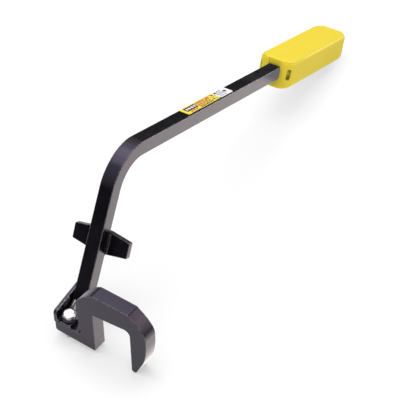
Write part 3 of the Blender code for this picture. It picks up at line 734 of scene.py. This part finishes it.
def build_screws():
    low = (GRIP_TOP - GRIP_H) / MM
    for number, (along, across) in enumerate(screw_places(), 1):
        profile = [(1.6, low + 17), (1.75, low + 16.2), (1.75, low + 2.7), (3.4, low + 2.4), (3.5, low + 2.0),
                   (3.2, low + 1.3), (2.4, low + 0.85), (1.4, low + 0.75)]
        screw = loose(f"shell_screw_{number}", lathe("screw", profile, 40, at=(along, across)), GRIP)
        spin = Matrix.Translation((along, across, 0)) @ Matrix.Rotation(0.6 + number * 1.1, 4, "Z")
        slots = [grip_box("cross", (-1.9, -0.35, low), (1.9, 0.35, low + 2.0), spin),
                 grip_box("cross", (-0.35, -1.9, low), (0.35, 1.9, low + 2.0), spin)]
        carve(screw, *slots)
        piece(screw, ZINC, [f"grip_screw_{number}"], 30)


# ---------------------------------------------------------------- labels

def film(name, look, patches, heights, nodes=(), radius=0.35):
    """Flat patches of film on the bar's outer face, from (start, stop, right, left) in mm; left is +Y."""
    bm = bmesh.new()
    for start, stop, right, left in patches:
        r = min(radius, (stop - start) * 0.45, (left - right) * 0.45)
        outline = rounded([(start, right, r), (stop, right, r), (stop, left, r), (start, left, r)], 4)
        bottom, top = ([bm.verts.new((p.x * MM, p.y * MM, z * MM)) for p in outline] for z in heights)
        bm.faces.new(reversed(bottom))
        bm.faces.new(top)
        for i in range(len(outline)):
            j = (i + 1) % len(outline)
            bm.faces.new((bottom[i], bottom[j], top[j], top[i]))
    return piece(loose(name, mesh_from(bm, name), UPPER), FILMS[look], nodes, 30)


def build_labels():
    right, left = 0.9 - 6.6, 0.9 + 6.6
    film("label_film_yellow", "yellow", [(134, 203.7, right, left)], FILM_Z,
         ["label_yellow"], 1.2)
    film("label_film_white", "white", [(204, 232, right, left)], FILM_Z,
         ["label_white"], 1.2)
    black = [(139.2, 162, -1.3, 6.1)]
    black += [(163.5 + 3.9 * k, 166.2 + 3.9 * k, -5.0, -3.2) for k in range(7)]
    black += [(193.5, 196.5, -2.4, -0.2), (198.5, 201.5, 3.4, 5.6)]
    rows = [(163.0, 200.0, 5.6), (141.0, 161.0, -6.2), (164.0, 184.0, 1.25), (163.0, 203.0, -2.9),
            (192.0, 203.0, -5.4), (193.0, 203.0, 1.3)]
    for row, (start, stop, low) in enumerate(rows):
        along = start
        while along < stop:
            width = 1.2 + 1.2 * ((row * 7 + int(along * 3)) % 4) / 3
            black.append((along, along + width, low, low + 0.9))
            along += width + 0.8
    film("label_print_black", "black", black, PRINT_Z)
    blocks = [(141.6 + 5.1 * k, 144.8 + 5.1 * k, 0.9, 4.2) for k in range(4)]
    film("label_print_blocks", "white", blocks, OVERPRINT_Z)
    red = [(163.5 + 4.6 * k, 167.2 + 4.6 * k, 2.6, 5.4) for k in range(4)]
    red += [(143.0 + 5.2 * k, 146.8 + 5.2 * k, -4.4, -2.0) for k in range(3)]
    red += [(163.5 + 5.4 * k, 167.8 + 5.4 * k, -1.6, 1.0) for k in range(5)]
    red += [(183.5, 192.0, 2.2, 5.2)]
    film("label_print_red", "red", red, PRINT_Z)
    grey = [(207 + 2.6 * k, 208.7 + 2.6 * k, -1.2, 3.2) for k in range(6)] + [(206.5, 221.5, -4.0, -2.6)]
    film("label_print_grey", "grey", grey, PRINT_Z)
    marks = [(205.5, 210.0, 3.6, 6.2), (212.0, 215.0, 4.4, 6.2), (217.0, 220.0, 4.4, 6.2),
             (222.5, 226.5, -0.4, 3.4)]
    film("label_print_marks", "black", marks, OVERPRINT_Z)


# ---------------------------------------------------------------- floor, light and camera

FLOOR_R = 60.0                              # so wide that a low view sees no dark edge
FLOOR_GLOW = 0.42
CARD_AWAY = 1.6


def build_floor():
    """A plain pale floor that glows a little, so that it looks nearly white."""
    mesh = bpy.data.meshes.new("floor")
    bm = bmesh.new()
    bmesh.ops.create_circle(bm, cap_ends=True, segments=96, radius=FLOOR_R)
    bm.to_mesh(mesh)
    bm.free()
    floor = bpy.data.objects.new("floor", mesh)
    bpy.context.scene.collection.objects.link(floor)
    look, tree, shader = material("floor_paper", Roughness=0.9, Specular_IOR_Level=0.0)
    grain = noise(tree, 3 * MM, 3)
    base = colour_mix(tree, grain, (0.50, 0.50, 0.51, 1), (0.52, 0.52, 0.53, 1))
    feed(tree, shader, Base_Color=base)
    shader.inputs["Emission Color"].default_value = (1, 1, 1, 1)
    shader.inputs["Emission Strength"].default_value = FLOOR_GLOW
    mesh.materials.append(look)


def build_world():
    """A dome that is dark near the horizon and bright overhead."""
    world = bpy.data.worlds.new("studio")
    world.use_nodes = True
    bpy.context.scene.world = world
    tree = world.node_tree
    height = node(tree, "SeparateXYZ", {0: node(tree, "TexCoord").outputs["Generated"]}).outputs["Z"]
    ramp = node(tree, "ValToRGB", {"Fac": height})
    stops = [(0.0, 0.0), (0.22, 0.01), (0.30, 0.30), (0.40, 0.50), (0.62, 0.95), (0.85, 1.25), (1.0, 1.35)]
    ramp.color_ramp.elements[0].position = stops[0][0]
    ramp.color_ramp.elements[0].color = (0, 0, 0, 1)
    ramp.color_ramp.elements[1].position = stops[-1][0]
    ramp.color_ramp.elements[1].color = (1.35, 1.35, 1.35, 1)
    for position, level in stops[1:-1]:
        made = ramp.color_ramp.elements.new(position)
        made.color = (level, level, level, 1)
    tree.links.new(ramp.outputs["Color"], tree.nodes["Background"].inputs["Color"])
    tree.nodes["Background"].inputs["Strength"].default_value = 1.0


def add_light(name, place, size, radiance, colour=(1, 1, 1), only_gloss=False):
    """A rectangular softbox that shines along its own -z; place is a matrix in the scene's frame."""
    data = bpy.data.lights.new(name, "AREA")
    data.shape = "RECTANGLE"
    data.size, data.size_y = size
    data.energy = radiance * math.pi * size[0] * size[1]
    data.color = colour
    light = bpy.data.objects.new(name, data)
    bpy.context.scene.collection.objects.link(light)
    light.matrix_world = place
    light.visible_diffuse = not only_gloss
    return light


def facing(place, target, up=(0, 0, 1)):
    """A matrix at `place` whose -z points at `target`."""
    back = (Vector(place) - Vector(target)).normalized()
    right = Vector(up).cross(back).normalized()
    return matrix_of(right, back.cross(right), back, Vector(place))


def build_lights():
    """An overhead box, a fill that gloss doesn't see, and cards that only gloss sees."""
    above = TOOL.translation + Vector((0.3, 0.1, 1.6))
    add_light("overhead", facing(above, (0, 0, 0), (0, 1, 0)), (1.2, 1.2), 2.2)
    fill_place = facing(Vector((0.3, -1.5, 0.7)), Vector((0.4, 0, 0.05)))
    add_light("fill", TOOL @ fill_place, (1.3, 0.8), 1.0).visible_glossy = False
    warm, cool = (1.0, 0.88, 0.77), (0.96, 0.88, 1.0)

    def card(name, azimuth, elevation, size, radiance, colour):
        """A card that faces the tool from that direction."""
        a, e = math.radians(azimuth), math.radians(elevation)
        aim = Vector((math.cos(a) * math.cos(e), math.sin(a) * math.cos(e), math.sin(e)))
        centre = Vector((0.15, 0, 0.08))
        add_light(name, TOOL @ facing(centre + aim * CARD_AWAY, centre), size, radiance, colour, True)

    card("edge_card", -27, 6, (0.7, 0.34), 16.0, warm)
    card("side_card", -48, 25, (1.3, 1.0), 3.4, warm)
    card("top_card", 31, 64, (1.2, 1.5), 0.9, cool)
    ahead = TOOL.to_3x3() @ Vector((1, 0, 0))
    ahead.z = 0
    ahead.normalize()
    side = Vector((0, 0, 1)).cross(ahead)
    middle = TOOL @ Vector((0.235, -0.125, 0))
    middle.z = 1.5 * MM
    flat = matrix_of(ahead, -side, Vector((0, 0, -1)), middle)
    add_light("floor_card", flat, (0.49, 0.23), 1.4, warm, True)


def build_camera():
    """The camera, placed in the tool's own frame."""
    ahead = Vector((0.6271, 0.3813, -0.6792)).normalized()
    right = Vector((0.51952, -0.85446, 0)).normalized()
    place = matrix_of(right, right.cross(ahead), -ahead, Vector((-0.63972, -0.54263, 0.94651)))
    data = bpy.data.cameras.new("camera")
    data.sensor_width = 36
    data.lens = 110.72
    data.clip_start, data.clip_end = 0.05, 20
    camera = bpy.data.objects.new("camera", data)
    bpy.context.scene.collection.objects.link(camera)
    camera.matrix_world = TOOL @ place
    bpy.context.scene.camera = camera


build_bar()
build_jaw()
build_bracket()
build_pusher()
build_welds()
build_washer()
build_bolt()
build_nut()
build_grip()
build_labels()
build_floor()
build_world()
build_lights()
build_camera()
bpy.context.scene.view_settings.view_transform = "Standard"
